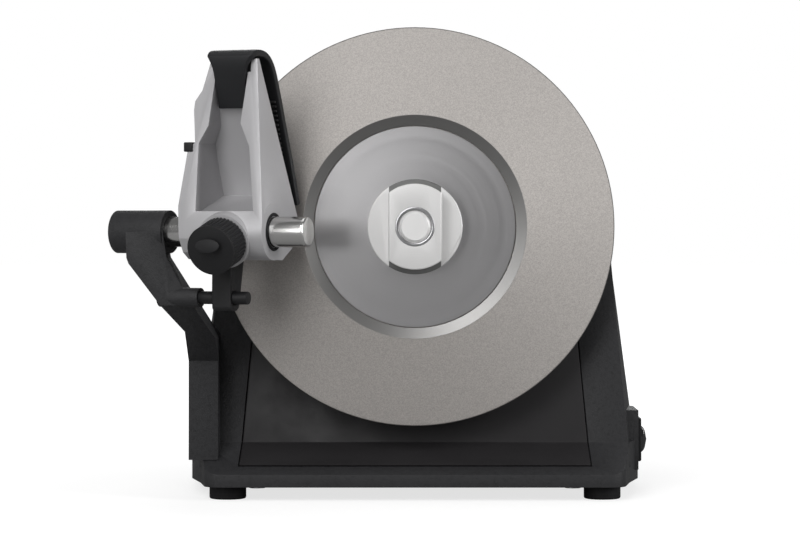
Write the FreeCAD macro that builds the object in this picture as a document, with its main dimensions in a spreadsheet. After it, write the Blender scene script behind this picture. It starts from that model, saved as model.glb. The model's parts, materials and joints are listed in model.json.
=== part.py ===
import FreeCAD, Part
import math
import os
import re

import Sketcher

# Electric knife sharpener: a housed gear motor turns a conical diamond wheel on one
# side and a honing wheel on the other; a knife guide slides and tilts on a rod.
# Millimetres. X right, Y away from the diamond wheel's side, Z up, feet on Z = 0.
# Sizes are counted from the wheel axis (x), the plane of the wheel's rim (y) and
# the table (z); the machine's origin is then moved to the middle of its footprint.

VALUES = {
    # where the wheel axis and the rim plane stand in the part's frame
    "axis_x": 14.8,
    "rim_y": -64,
    "axis_height": 130,
    # diamond wheel, a hollow cone
    "wheel_radius": 95,
    "wheel_rim": 5,
    "cone_rise": 18,
    "cone_inner_radius": 52.6,
    "bevel_radius": 47.7,
    "bevel_drop": 2,
    "web_front": 14.5,
    "web_thickness": 5.5,
    "cone_thickness": 7,
    "disc_thickness": 1.5,
    "disc_gap": 0.5,
    "honing_radius": 92,
    # quick-lock nut and main shaft
    "nut_radius": 22.3,
    "nut_base": 6,
    "nut_grip_width": 24.5,
    "nut_grip_length": 40,
    "nut_grip_height": 9,
    "shaft_radius": 7.5,
    "shaft_tip": 32,
    "running_gap": 0.08,
    "seat_gap": 0.05,
    # casting
    "face_setback": 18,
    "body_depth": 134,
    "wall": 5,
    "drum_base": 14,
    "face_base_half": 103.9,
    "mid_base_half": 112,
    "face_drum_radius": 93.7,
    "mid_drum_radius": 97.4,
    "drum_centre": 118,
    "skirt_bottom": 6.5,
    "lip_height": 6,
    "fold_height": 26,
    "skirt_reach": 26,
    "lip_half": 99.2,
    "skirt_quarter_half": 109.4,
    "skirt_quarter": 24,
    "skirt_mid_half": 112.6,
    "skirt_corner": 8,
    # panels on the two faces
    "panel_thickness": 2,
    "panel_gap": 0.5,
    "panel_top": 100,
    "panel_top_half": 75.5,
    "panel_fold_half": 83.2,
    "panel_low_half": 84.2,
    "panel_low": 16.5,
    # base plate and feet
    "plate_thickness": 3,
    "plate_inset": 5,
    "part_gap": 0.3,
    "foot_radius": 8.8,
    "foot_spread": 89.6,
    "foot_front": 8,
    "screw_head_radius": 3.8,
    # bearings of the main shaft
    "bearing_outer": 17.5,
    "bearing_width": 11,
    "bearing_boss": 23,
    "flange_radius": 20,
    # gear train
    "fine_module": 1.25,
    "coarse_module": 1.5,
    "motor_teeth": 12,
    "middle_gear_teeth": 42,
    "middle_pinion_teeth": 14,
    "main_teeth": 49,
    "backlash": 0.3,
    "middle_angle": -50,
    "motor_angle": -115,
    "middle_gear_at": 77,
    "middle_gear_width": 8,
    "main_gear_at": 88,
    "main_gear_width": 10,
    "middle_shaft_radius": 5,
    "motor_shaft_radius": 4,
    "gear_plate_at": 70,
    "bearing_plate_at": 104,
    "mount_plate": 4,
    "mount_plate_half": 62,
    "mount_plate_low": 30,
    "mount_plate_high": 158,
    "post_radius": 4,
    # motor
    "stator_radius": 33,
    "stator_length": 22,
    "stator_at": 41,
    "winding_length": 7,
    "shield_thickness": 3,
    "rotor_radius": 17,
    "air_gap": 0.5,
    "fan_radius": 26,
    "fan_blades": 9,
    # guide arm, rod and support pin
    "rod_yaw": 23,
    "guide_x": -83.8,
    "guide_y": -44,
    "guide_z": 127.6,
    "rod_radius": 7,
    "rod_left": -57,
    "rod_right": 38.5,
    "boss_radius": 10,
    "boss_left": -60,
    "boss_right": -32.5,
    "post_front": 3,
    "post_left": -108,
    "post_right": -94,
    "pin_radius": 3,
    "pin_y": -3,
    "pin_z": -30.3,
    "pin_right": 9.5,
    "lug_radius": 4.5,
    "lug_right": -15,
    # knife guide, in the rod's frame
    "guide_right": 21,
    "guide_left": -22,
    "guide_front": -12.6,
    "guide_back": 26.7,
    "guide_top": 79,
    "tip_front": -8.4,
    "tip_back": -6.4,
    "guide_skin": 3.5,
    "eye_left": -7.4,
    "eye_right": 2.4,
    "eye_radius": 10.5,
    "slot_gap": 0.5,
    "knob_x": 1.7,
    "knob_dip": 18,
    "knob_radius": 11.6,
    "knob_near": 14.2,
    "knob_length": 13,
    "knob_ridges": 40,
    "strap_thickness": 3.6,
    "strap_top": 82.6,
    "strap_left": -8,
    # switch and inlet
    "switch_y": 50,
    "switch_z": 26,
    "switch_boss_x": 109,
    "switch_width": 30,
    "switch_height": 22,
    "rocker_proud": 4.4,
    "inlet_y": 100,
    "inlet_z": 40,
    "inlet_width": 28,
    "inlet_height": 20,
    "inlet_flange": 4,
}

document = FreeCAD.newDocument("knife_sharpener")
sheet = document.addObject("Spreadsheet::Sheet", "values")
for row, (alias, size) in enumerate(VALUES.items(), start=1):
    sheet.set("A%d" % row, alias)
    sheet.set("B%d" % row, str(size))
    sheet.setAlias("B%d" % row, alias)
document.recompute()

ALIASES = re.compile(r"\b(%s)\b" % "|".join(sorted(VALUES, key=len, reverse=True)))
PLANES = {
    "XY": (FreeCAD.Rotation(), FreeCAD.Vector(0, 0, 1)),
    "XZ": (FreeCAD.Rotation(FreeCAD.Vector(1, 0, 0), 90), FreeCAD.Vector(0, 1, 0)),
    "YZ": (FreeCAD.Rotation(FreeCAD.Vector(1, 1, 1), 120), FreeCAD.Vector(1, 0, 0)),
}
NODES = []


def linked(formula):
    """A formula of sheet names, written so that the document can follow them."""
    return ALIASES.sub(r"values.\1", str(formula))


def number(formula):
    """The formula's present value."""
    return float(sheet.evalExpression(linked(formula)))


def bind(thing, **sizes):
    """Tie properties of an object to formulas of the sheet."""
    for name, formula in sizes.items():
        thing.setExpression(name, linked(formula))


def place(thing, x="0", y="0", z="0", rotation=None):
    """Stand an object in its frame; the three places follow the sheet."""
    thing.Placement = FreeCAD.Placement(
        FreeCAD.Vector(number(x), number(y), number(z)), rotation or FreeCAD.Rotation()
    )
    for axis, formula in zip("xyz", (x, y, z)):
        thing.setExpression(".Placement.Base." + axis, linked(formula))
    return thing


def node(thing, label):
    """Name an object as one separate piece of the machine."""
    thing.Label = label
    NODES.append(thing)
    return thing


def machine(thing, label, x="0", y="0", z="0", rotation=None):
    """A piece whose own zero is on the wheel axis, in the rim plane, at table height."""
    place(thing, "axis_x + (%s)" % x, "rim_y + (%s)" % y, z, rotation)
    return node(thing, label)


def on_rod(thing, label, x="0", y="0", z="0", rotation=None):
    """A piece drawn in the rod's frame: x along the rod, y away, z up."""
    yaw = FreeCAD.Rotation(FreeCAD.Vector(0, 0, 1), -number("rod_yaw"))
    own = FreeCAD.Placement(FreeCAD.Vector(), rotation or FreeCAD.Rotation())
    along = "(%s) * cos(rod_yaw * 1 deg) + (%s) * sin(rod_yaw * 1 deg)" % (x, y)
    across = "(%s) * cos(rod_yaw * 1 deg) - (%s) * sin(rod_yaw * 1 deg)" % (y, x)
    place(
        thing,
        "axis_x + guide_x + " + along,
        "rim_y + guide_y + " + across,
        "guide_z + (%s)" % z,
        yaw.multiply(own.Rotation),
    )
    return node(thing, label)


# Sketches

def draw_polygon(sketch, points):
    """A closed outline whose corners follow the sheet."""
    corners = [FreeCAD.Vector(number(x), number(y), 0) for x, y in points]
    count = len(corners)
    first = sketch.GeometryCount
    for i in range(count):
        sketch.addGeometry(Part.LineSegment(corners[i], corners[(i + 1) % count]), False)
    for i in range(count):
        following = first + (i + 1) % count
        sketch.addConstraint(Sketcher.Constraint("Coincident", first + i, 2, following, 1))
    for i, (x, y) in enumerate(points):
        pin_point(sketch, first + i, 1, x, y)


def pin_point(sketch, item, end, x, y):
    """Hold one point of a sketch at two formulas."""
    for kind, formula in (("DistanceX", x), ("DistanceY", y)):
        value = number(formula)
        index = sketch.addConstraint(Sketcher.Constraint(kind, -1, 1, item, end, value))
        sketch.setExpression("Constraints[%d]" % index, linked(formula))


def draw_circle(sketch, x, y, radius):
    """A circle whose centre and radius follow the sheet."""
    centre = FreeCAD.Vector(number(x), number(y), 0)
    item = sketch.addGeometry(Part.Circle(centre, FreeCAD.Vector(0, 0, 1), number(radius)), False)
    pin_point(sketch, item, 3, x, y)
    index = sketch.addConstraint(Sketcher.Constraint("Radius", item, number(radius)))
    sketch.setExpression("Constraints[%d]" % index, linked(radius))


def draw_arch(sketch, half, base, radius, centre):
    """A section of the drum: a base line, two side lines and a round top tangent to them."""
    half_size, base_size = number(half), number(base)
    radius_size, centre_size = number(radius), number(centre)
    rise = centre_size - base_size
    lean = math.atan2(half_size, rise) - math.asin(radius_size / math.hypot(half_size, rise))
    tangent = FreeCAD.Vector(
        radius_size * math.cos(lean), centre_size + radius_size * math.sin(lean), 0
    )
    mirrored = FreeCAD.Vector(-tangent.x, tangent.y, 0)
    right = FreeCAD.Vector(half_size, base_size, 0)
    left = FreeCAD.Vector(-half_size, base_size, 0)
    middle = FreeCAD.Vector(0, centre_size, 0)
    circle = Part.Circle(middle, FreeCAD.Vector(0, 0, 1), radius_size)
    sketch.addGeometry(Part.LineSegment(left, right), False)
    sketch.addGeometry(Part.LineSegment(right, tangent), False)
    sketch.addGeometry(Part.ArcOfCircle(circle, lean, math.pi - lean), False)
    sketch.addGeometry(Part.LineSegment(mirrored, left), False)
    sketch.addConstraint(Sketcher.Constraint("Coincident", 0, 2, 1, 1))
    sketch.addConstraint(Sketcher.Constraint("Tangent", 1, 2, 2, 1))
    sketch.addConstraint(Sketcher.Constraint("Tangent", 2, 2, 3, 1))
    sketch.addConstraint(Sketcher.Constraint("Coincident", 3, 2, 0, 1))
    pin_point(sketch, 0, 1, "-(%s)" % half, base)
    pin_point(sketch, 0, 2, half, base)
    pin_point(sketch, 2, 3, "0", centre)
    index = sketch.addConstraint(Sketcher.Constraint("Radius", 2, radius_size))
    sketch.setExpression("Constraints[%d]" % index, linked(radius))


# Solids drawn as sketches and padded

def new_body(name):
    return document.addObject("PartDesign::Body", name)


def body_sketch(body, plane, level="0"):
    """A sketch on one of the body's own planes, raised along the plane's axis to a level."""
    sketch = body.newObject("Sketcher::SketchObject", body.Name + "_sketch")
    origin = [item for item in body.Origin.OriginFeatures if item.Role == plane + "_Plane"][0]
    sketch.AttachmentSupport = [(origin, "")]
    sketch.MapMode = "FlatFace"
    sign = "-" if plane == "XZ" else ""
    sketch.setExpression(".AttachmentOffset.Base.z", linked("%s(%s)" % (sign, level)))
    return sketch


def pad(body, sketch, length, backwards=False):
    feature = body.newObject("PartDesign::Pad", body.Name + "_pad")
    feature.Profile = sketch
    feature.Reversed = backwards
    bind(feature, Length=length)
    sketch.Visibility = False
    return feature


def pocket(body, sketch, length, backwards=False):
    """A cut, which has to take some material away."""
    document.recompute()
    before = body.Shape.Volume
    feature = body.newObject("PartDesign::Pocket", body.Name + "_pocket")
    feature.Profile = sketch
    feature.Reversed = backwards
    bind(feature, Length=length)
    document.recompute()
    if body.Shape.Volume >= before:
        raise RuntimeError(body.Name + ": a pocket cut nothing")
    return feature


def turned(name, profile):
    """A piece turned about the Y axis from its (y, radius) outline."""
    body = new_body(name)
    sketch = body_sketch(body, "YZ")
    draw_polygon(sketch, profile)
    spin = body.newObject("PartDesign::Revolution", name + "_turn")
    spin.Profile = sketch
    spin.ReferenceAxis = (sketch, ["H_Axis"])
    spin.Angle = 360
    return body


def repeat_around(body, feature, count, axis_sketch, axis="V_Axis"):
    """Repeat a feature around an axis of a sketch."""
    pattern = body.newObject("PartDesign::PolarPattern", body.Name + "_pattern")
    pattern.Originals = [feature]
    pattern.Axis = (axis_sketch, [axis])
    pattern.Angle = 360
    bind(pattern, Occurrences=count)
    body.Tip = pattern
    return pattern


# Plain solids and what joins or cuts them

def prism(name, plane, points, start, end):
    """A solid drawn on a plane and drawn out along its axis from start to end."""
    rotation, axis = PLANES[plane]
    sketch = document.addObject("Sketcher::SketchObject", name + "_outline")
    spot = {"XY": "z", "XZ": "y", "YZ": "x"}[plane]
    place(sketch, **{spot: start}, rotation=rotation)
    draw_polygon(sketch, points)
    solid = document.addObject("Part::Extrusion", name)
    solid.Base = sketch
    solid.DirMode = "Custom"
    solid.Dir = axis
    solid.Solid = True
    bind(solid, LengthFwd="(%s) - (%s)" % (end, start))
    return solid


def box(name, low, high):
    """A box between two corners."""
    solid = document.addObject("Part::Box", name)
    sizes = ["(%s) - (%s)" % (b, a) for a, b in zip(low, high)]
    bind(solid, Length=sizes[0], Width=sizes[1], Height=sizes[2])
    return place(solid, *low)


def cylinder(name, radius, length, at=("0", "0", "0"), axis="Z"):
    """A cylinder from a point, along an axis."""
    turns = {
        "Z": FreeCAD.Rotation(),
        "X": FreeCAD.Rotation(FreeCAD.Vector(0, 1, 0), 90),
        "Y": FreeCAD.Rotation(FreeCAD.Vector(1, 0, 0), -90),
        "-Y": FreeCAD.Rotation(FreeCAD.Vector(1, 0, 0), 90),
        "-Z": FreeCAD.Rotation(FreeCAD.Vector(1, 0, 0), 180),
    }
    solid = document.addObject("Part::Cylinder", name)
    bind(solid, Radius=radius, Height=length)
    return place(solid, *at, rotation=turns[axis])


def fuse(name, *solids):
    joined = document.addObject("Part::MultiFuse", name)
    joined.Shapes = list(solids)
    joined.Refine = True
    return joined


def fuse_pair(name, base, tool):
    """Two solids joined, with the seams between their faces kept."""
    joined = document.addObject("Part::Fuse", name)
    joined.Base = base
    joined.Tool = tool
    joined.Refine = False
    return joined


def common(name, *solids):
    shared = document.addObject("Part::MultiCommon", name)
    shared.Shapes = list(solids)
    return shared


def cut(name, base, *tools):
    """The base less its tools, taken one after another."""
    for i, tool in enumerate(tools):
        result = document.addObject("Part::Cut", "%s_%d" % (name, i))
        result.Base = base
        result.Tool = tool
        result.Refine = True
        base = result
    return base


def group(name, solids):
    """Several alike pieces kept as one node."""
    bundle = document.addObject("Part::Compound", name)
    bundle.Links = list(solids)
    return bundle


# Wheels, discs, nuts and shaft, in a frame whose y runs away from the viewer

def cone_wheel(name, radius):
    """A hollow cone with a turned recess for its disc and a flat web on the shaft."""
    return turned(name, [
        ("0", "%s - 0.6" % radius),
        ("0.6", radius),
        ("wheel_rim", radius),
        ("wheel_rim", "%s - cone_thickness" % radius),
        ("web_thickness - web_front", "bevel_radius + cone_thickness"),
        ("web_thickness - web_front", "shaft_radius + seat_gap"),
        ("-web_front", "shaft_radius + seat_gap"),
        ("-web_front", "bevel_radius"),
        ("bevel_drop - cone_rise", "bevel_radius"),
        ("-cone_rise", "cone_inner_radius"),
    ])


def wheel_disc(name):
    return turned(name, [
        ("-web_front", "shaft_radius + 1"),
        ("-web_front", "bevel_radius - disc_gap"),
        ("-web_front - disc_thickness", "bevel_radius - disc_gap"),
        ("-web_front - disc_thickness", "shaft_radius + 1"),
    ])


def lock_nut(name):
    """A round base with an upright grip bar between two finger hollows."""
    face = "web_front + disc_thickness + part_gap"
    base = cylinder(name + "_base", "nut_radius", "nut_base", ("0", "-(%s)" % face, "0"), "-Y")
    reach = "nut_base + nut_grip_height"
    disc = cylinder(name + "_grip_round", "nut_grip_length / 2", reach,
                    ("0", "-(%s)" % face, "0"), "-Y")
    bar = box(name + "_grip_bar",
              ("-nut_grip_width / 2", "-(%s) - nut_base - nut_grip_height" % face, "-nut_grip_length"),
              ("nut_grip_width / 2", "-(%s)" % face, "nut_grip_length"))
    grip = common(name + "_grip", disc, bar)
    whole = fuse(name + "_whole", base, grip)
    bore = cylinder(name + "_bore", "shaft_radius + running_gap", "60", ("0", "0", "0"), "-Y")
    return cut(name + "_cut", whole, bore)


def far_side(thing, label):
    """The same piece turned round to the honing side."""
    about = FreeCAD.Rotation(FreeCAD.Vector(0, 0, 1), 180)
    return machine(thing, label, "0", "2 * face_setback + body_depth", "axis_height", about)


machine(cone_wheel("wheel_cone", "wheel_radius"), "grinding_wheel", z="axis_height")
machine(wheel_disc("wheel_plate"), "wheel_disc", z="axis_height")
machine(lock_nut("wheel_lock"), "wheel_nut", z="axis_height")
far_side(cone_wheel("honing_cone", "honing_radius"), "honing_wheel")
far_side(wheel_disc("honing_plate"), "honing_disc")
far_side(lock_nut("honing_lock"), "honing_nut")

span = "2 * face_setback + body_depth"
main_shaft = turned("shaft_bar", [
    ("-shaft_tip", "0"),
    ("-shaft_tip", "shaft_radius - 1.2"),
    ("1.2 - shaft_tip", "shaft_radius"),
    ("%s + shaft_tip - 1.2" % span, "shaft_radius"),
    ("%s + shaft_tip" % span, "shaft_radius - 1.2"),
    ("%s + shaft_tip" % span, "0"),
])
machine(main_shaft, "main_shaft", z="axis_height")

for side, mover in (("wheel", machine), ("honing", far_side)):
    flange = turned(side + "_flange_ring", [
        ("web_thickness - web_front", "shaft_radius + seat_gap"),
        ("web_thickness - web_front", "flange_radius"),
        ("web_thickness - web_front + 6", "flange_radius"),
        ("web_thickness - web_front + 6", "shaft_radius + 4"),
        ("face_setback + 1.8", "shaft_radius + 4"),
        ("face_setback + 1.8", "shaft_radius + seat_gap"),
    ])
    bearing = turned(side + "_bearing_ring", [
        ("face_setback + 2", "shaft_radius + running_gap"),
        ("face_setback + 2", "bearing_outer"),
        ("face_setback + 2 + bearing_width", "bearing_outer"),
        ("face_setback + 2 + bearing_width", "shaft_radius + running_gap"),
    ])
    if mover is machine:
        machine(flange, "wheel_flange", z="axis_height")
        machine(bearing, "wheel_bearing", z="axis_height")
    else:
        far_side(flange, "honing_flange")
        far_side(bearing, "honing_bearing")

# Housing: a drum with leaning sides on a skirt whose front and back slope to a lip

far_face = "face_setback + body_depth"
mid_plane = "face_setback + body_depth / 2"


def drum(body, kind, inset):
    """The drum between the two faces, or the hollow inside it."""
    sections = []
    stations = (
        ("face_setback + (%s)" % inset, "face_base_half", "face_drum_radius"),
        (mid_plane, "mid_base_half", "mid_drum_radius"),
        (far_face + " - (%s)" % inset, "face_base_half", "face_drum_radius"),
    )
    for level, half, radius in stations:
        sketch = body_sketch(body, "XZ", level)
        draw_arch(sketch, "%s - (%s)" % (half, inset), "drum_base", "%s - (%s)" % (radius, inset), "drum_centre")
        sections.append(sketch)
    loft = body.newObject("PartDesign::" + kind, body.Name + "_drum")
    loft.Profile = sections[0]
    loft.Sections = sections[1:]
    loft.Ruled = True
    return loft


def skirt_outline(inset):
    """The plan of the skirt, narrower at its front and back lips than at the middle."""
    front = "face_setback - skirt_reach + (%s)" % inset
    back = "face_setback + body_depth + skirt_reach - (%s)" % inset
    half = [
        ("lip_half", front),
        ("face_base_half - 0.3", "face_setback"),
        ("skirt_quarter_half", "face_setback + skirt_quarter"),
        ("skirt_mid_half", mid_plane),
        ("skirt_quarter_half", "face_setback + body_depth - skirt_quarter"),
        ("face_base_half - 0.3", far_face),
        ("lip_half", back),
    ]
    right = [("%s - (%s)" % (x, inset), y) for x, y in half]
    left = [("-(%s)" % x, y) for x, y in reversed(right)]
    return right + left


shell = new_body("casting")
plan = body_sketch(shell, "XY", "skirt_bottom")
draw_polygon(plan, skirt_outline("0"))
pad(shell, plan, "fold_height - skirt_bottom")
for near, far, beyond in (
    ("face_setback - skirt_reach", "face_setback", "face_setback - skirt_reach - 5"),
    ("face_setback + body_depth + skirt_reach", far_face, "face_setback + body_depth + skirt_reach + 5"),
):
    ramp = body_sketch(shell, "YZ", "skirt_mid_half + 5")
    draw_polygon(ramp, [
        (near, "skirt_bottom + lip_height"),
        (far, "fold_height"),
        (far, "fold_height + 5"),
        (beyond, "fold_height + 5"),
        (beyond, "skirt_bottom + lip_height"),
    ])
    pocket(shell, ramp, "2 * skirt_mid_half + 10")


def upright_at_lip(edge):
    """The four upright corners of the skirt's lips."""
    limits = edge.BoundBox
    upright = limits.ZLength > 1 and limits.XLength < 0.01 and limits.YLength < 0.01
    outside = abs(abs(limits.XMin) - number("lip_half")) < 0.01
    return upright and outside


document.recompute()
corners = shell.newObject("PartDesign::Fillet", "lip_corners")
tip = shell.Tip if shell.Tip.Name != corners.Name else corners.BaseFeature
names = ["Edge%d" % i for i, edge in enumerate(tip.Shape.Edges, start=1) if upright_at_lip(edge)]
corners.Base = (tip, names)
bind(corners, Radius="skirt_corner")
document.recompute()
drum(shell, "AdditiveLoft", "0")
document.recompute()

boss_pad = body_sketch(shell, "YZ", "switch_boss_x")
boss_y = "switch_width / 2 + 2.5"
boss_z = "switch_height / 2 + 3.5"
draw_polygon(boss_pad, [
    ("switch_y - (%s)" % boss_y, "switch_z - (%s)" % boss_z),
    ("switch_y + (%s)" % boss_y, "switch_z - (%s)" % boss_z),
    ("switch_y + (%s)" % boss_y, "switch_z + (%s)" % boss_z),
    ("switch_y - (%s)" % boss_y, "switch_z + (%s)" % boss_z),
])
pad(shell, boss_pad, "12", backwards=True)
document.recompute()

# The hollow: a drum inside the drum, then a plain well down to the base plate
drum(shell, "SubtractiveLoft", "wall")
document.recompute()
well = body_sketch(shell, "XY", "skirt_bottom")
well_front = "face_setback + wall"
well_back = "face_setback + body_depth - wall"
draw_polygon(well, [
    ("face_base_half - wall - 1", well_front),
    ("mid_base_half - wall - 1", mid_plane),
    ("face_base_half - wall - 1", well_back),
    ("wall + 1 - face_base_half", well_back),
    ("wall + 1 - mid_base_half", mid_plane),
    ("wall + 1 - face_base_half", well_front),
])
pocket(shell, well, "drum_base - skirt_bottom + 0.5", backwards=True)
seat = body_sketch(shell, "XY", "skirt_bottom")
draw_polygon(seat, skirt_outline("plate_inset"))
pocket(shell, seat, "plate_thickness", backwards=True)

# Round bosses inside both faces carry the two bearings
for level, backwards in (("face_setback + 1", True), ("face_setback + body_depth - 1", False)):
    ring = body_sketch(shell, "XZ", level)
    draw_circle(ring, "0", "axis_height", "bearing_boss")
    pad(shell, ring, "bearing_width + 3", backwards=backwards)
document.recompute()
bores = body_sketch(shell, "XZ", "face_setback + 2")
draw_circle(bores, "0", "axis_height", "bearing_outer + seat_gap")
pocket(shell, bores, "body_depth - 4")
mouth = body_sketch(shell, "XZ", "face_setback - 1")
draw_circle(mouth, "0", "axis_height", "shaft_radius + 5")
pocket(shell, mouth, "body_depth + 2")

# Side openings for the switch and for the power inlet
switch_hole = body_sketch(shell, "YZ", "skirt_mid_half + 5")
draw_polygon(switch_hole, [
    ("switch_y - switch_width / 2", "switch_z - switch_height / 2"),
    ("switch_y + switch_width / 2", "switch_z - switch_height / 2"),
    ("switch_y + switch_width / 2", "switch_z + switch_height / 2"),
    ("switch_y - switch_width / 2", "switch_z + switch_height / 2"),
])
pocket(shell, switch_hole, "skirt_mid_half + 5 - switch_boss_x + 24")
inlet_hole = body_sketch(shell, "YZ", "-mid_base_half - 5")
draw_polygon(inlet_hole, [
    ("inlet_y - inlet_width / 2 - part_gap", "inlet_z - inlet_height / 2 - part_gap"),
    ("inlet_y + inlet_width / 2 + part_gap", "inlet_z - inlet_height / 2 - part_gap"),
    ("inlet_y + inlet_width / 2 + part_gap", "inlet_z + inlet_height / 2 + part_gap"),
    ("inlet_y - inlet_width / 2 - part_gap", "inlet_z + inlet_height / 2 + part_gap"),
])
pocket(shell, inlet_hole, "30", backwards=True)
flange_seat = body_sketch(shell, "YZ", "-mid_base_half - 5")
draw_polygon(flange_seat, [
    ("inlet_y - inlet_width / 2 - inlet_flange", "inlet_z - inlet_height / 2 - inlet_flange"),
    ("inlet_y + inlet_width / 2 + inlet_flange", "inlet_z - inlet_height / 2 - inlet_flange"),
    ("inlet_y + inlet_width / 2 + inlet_flange", "inlet_z + inlet_height / 2 + inlet_flange"),
    ("inlet_y - inlet_width / 2 - inlet_flange", "inlet_z + inlet_height / 2 + inlet_flange"),
])
inlet_face = "mid_base_half - 8"
pocket(shell, flange_seat, "mid_base_half + 5 - (%s)" % inlet_face, backwards=True)


def bent_strip(name, near, far, sign, gap):
    """A panel's side view: up the face, folded to follow the sloping skirt."""
    depth = "(panel_thickness + %s)" % gap
    slope = "((fold_height - skirt_bottom - lip_height) / skirt_reach)"
    low_y = "%s %s (fold_height - panel_low + %s) / %s" % (near, "-" if sign > 0 else "+", gap, slope)
    inward = "+" if sign > 0 else "-"
    outward = "-" if sign > 0 else "+"
    out = "0" if gap == "0" else "3"
    outside = [
        ("%s %s %s" % (near, outward, out), "panel_top + %s" % gap),
        ("%s %s %s" % (near, outward, out), "fold_height + %s" % out),
        ("%s %s %s" % (low_y, outward, out), "panel_low - %s + %s" % (gap, out)),
    ]
    if out != "0":
        outside.append((low_y, "panel_low - %s" % gap))
    return prism(name + "_strip", "YZ", outside + [
        ("%s %s 1.6" % (low_y, inward), "panel_low - %s - %s + 0.8" % (gap, depth)),
        ("%s %s %s" % (near, inward, depth), "fold_height - 0.6"),
        ("%s %s %s" % (near, inward, depth), "panel_top + %s" % gap),
    ], "-panel_low_half - 5", "panel_low_half + 5")


def panel_solid(name, near, far, sign, gap):
    """A smooth panel, wider at its foot, or the recess that it lies in."""
    strip = bent_strip(name, near, far, sign, gap)
    front = prism(name + "_front", "XZ", [
        ("-panel_low_half - %s" % gap, "panel_low - 8"),
        ("panel_low_half + %s" % gap, "panel_low - 8"),
        ("panel_fold_half + %s" % gap, "fold_height"),
        ("panel_top_half + %s" % gap, "panel_top + 5"),
        ("-panel_top_half - %s" % gap, "panel_top + 5"),
        ("-panel_fold_half - %s" % gap, "fold_height"),
    ], "face_setback - skirt_reach - 10", "face_setback + body_depth + skirt_reach + 10")
    return common(name, strip, front)


wheel_recess = panel_solid("wheel_recess", "face_setback", "0", 1, "panel_gap")
honing_recess = panel_solid("honing_recess", far_face, "0", -1, "panel_gap")
machine(cut("housing_cut", shell, wheel_recess, honing_recess), "housing")
machine(panel_solid("wheel_panel", "face_setback", "0", 1, "0"), "wheel_side_panel")
machine(panel_solid("honing_panel", far_face, "0", -1, "0"), "honing_side_panel")

# Base plate with air slots, its screws and the four rubber feet
plate = new_body("floor_plate")
floor_plan = body_sketch(plate, "XY", "skirt_bottom")
draw_polygon(floor_plan, skirt_outline("plate_inset + part_gap"))
pad(plate, floor_plan, "plate_thickness")
for step in range(-3, 4):
    slot_x = "%d * 14" % step
    slot = body_sketch(plate, "XY", "skirt_bottom")
    draw_polygon(slot, [
        ("%s - 2" % slot_x, mid_plane + " - 35"),
        ("%s + 2" % slot_x, mid_plane + " - 35"),
        ("%s + 2" % slot_x, mid_plane + " + 35"),
        ("%s - 2" % slot_x, mid_plane + " + 35"),
    ])
    pocket(plate, slot, "plate_thickness + 1", backwards=True)
machine(plate, "base_plate")

screws = []
for x in ("-foot_spread + 14", "foot_spread - 14"):
    for y in ("foot_front + 1", "2 * face_setback + body_depth - foot_front - 1"):
        head = cylinder("base_screw_head", "screw_head_radius", "1.6", (x, y, "skirt_bottom - 1.6"))
        screws.append(head)
machine(group("base_screw_set", screws), "base_plate_screws")

for along, y in (("front", "foot_front"), ("rear", "2 * face_setback + body_depth - foot_front")):
    for across, x in (("left", "-foot_spread"), ("right", "foot_spread")):
        foot = cylinder("rubber_foot", "foot_radius", "skirt_bottom", (x, y, "0"))
        dimple = cylinder("foot_dimple", "3.5", "2", (x, y, "0"))
        machine(cut("foot_" + along + across, foot, dimple), "foot_%s_%s" % (along, across))

# Gears: involute teeth thinned by the backlash, drawn by formula

def gear_shape(module, teeth, width, bore, backlash, phase):
    """A spur gear with one tooth's middle at the phase angle, its faces on z = 0 and width."""
    pressure = math.radians(20)
    pitch = module * teeth / 2
    base = pitch * math.cos(pressure)
    root = pitch - 1.25 * module
    tip = pitch + 0.95 * module
    half_tooth = math.pi / (2 * teeth) - backlash / (4 * pitch)
    involute = math.tan(pressure) - pressure

    def flank(radius, side):
        turn = math.acos(base / radius) if radius > base else 0.0
        spread = half_tooth + involute - (math.tan(turn) - turn)
        return radius, side * spread

    def spot(radius, angle):
        return FreeCAD.Vector(radius * math.cos(angle), radius * math.sin(angle), 0)

    start = max(root, base)
    radii = [start + (tip - start) * i / 3 for i in range(4)]
    edges = []

    def join(start_point, end_point):
        if start_point.distanceToPoint(end_point) > 1e-6:
            edges.append(Part.LineSegment(start_point, end_point).toShape())

    def curve_through(points):
        curve = Part.BSplineCurve()
        curve.interpolate(points)
        edges.append(curve.toShape())

    gap_edge = flank(start, 1)[1]
    for tooth in range(teeth):
        middle = phase + 2 * math.pi * tooth / teeth
        rising = [spot(r, middle + a) for r, a in (flank(r, -1) for r in radii)]
        falling = [spot(r, middle + a) for r, a in (flank(r, 1) for r in reversed(radii))]
        foot_out = spot(root, middle + gap_edge)
        halfway = middle + math.pi / teeth
        next_foot = spot(root, middle + 2 * math.pi / teeth - gap_edge)
        join(spot(root, middle - gap_edge), rising[0])
        curve_through(rising)
        edges.append(Part.Arc(rising[-1], spot(tip, middle), falling[0]).toShape())
        curve_through(falling)
        join(falling[-1], foot_out)
        edges.append(Part.Arc(foot_out, spot(root, halfway), next_foot).toShape())
    blank = Part.Face(Part.Wire(edges)).extrude(FreeCAD.Vector(0, 0, width))
    return blank.cut(Part.makeCylinder(bore, width)).Solids[0]


def gear(label, module, teeth, width, bore, phase, x, y, z):
    """A gear as one piece, its axis along Y."""
    thing = document.addObject("Part::Feature", label)
    sizes = [number(v) for v in (module, teeth, width, bore, "backlash")]
    thing.Shape = gear_shape(sizes[0], int(sizes[1]), sizes[2], sizes[3], sizes[4], phase)
    upright = FreeCAD.Rotation(FreeCAD.Vector(1, 0, 0), 90)
    return machine(thing, label, x, "(%s) + (%s)" % (y, width), z, upright)


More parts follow.
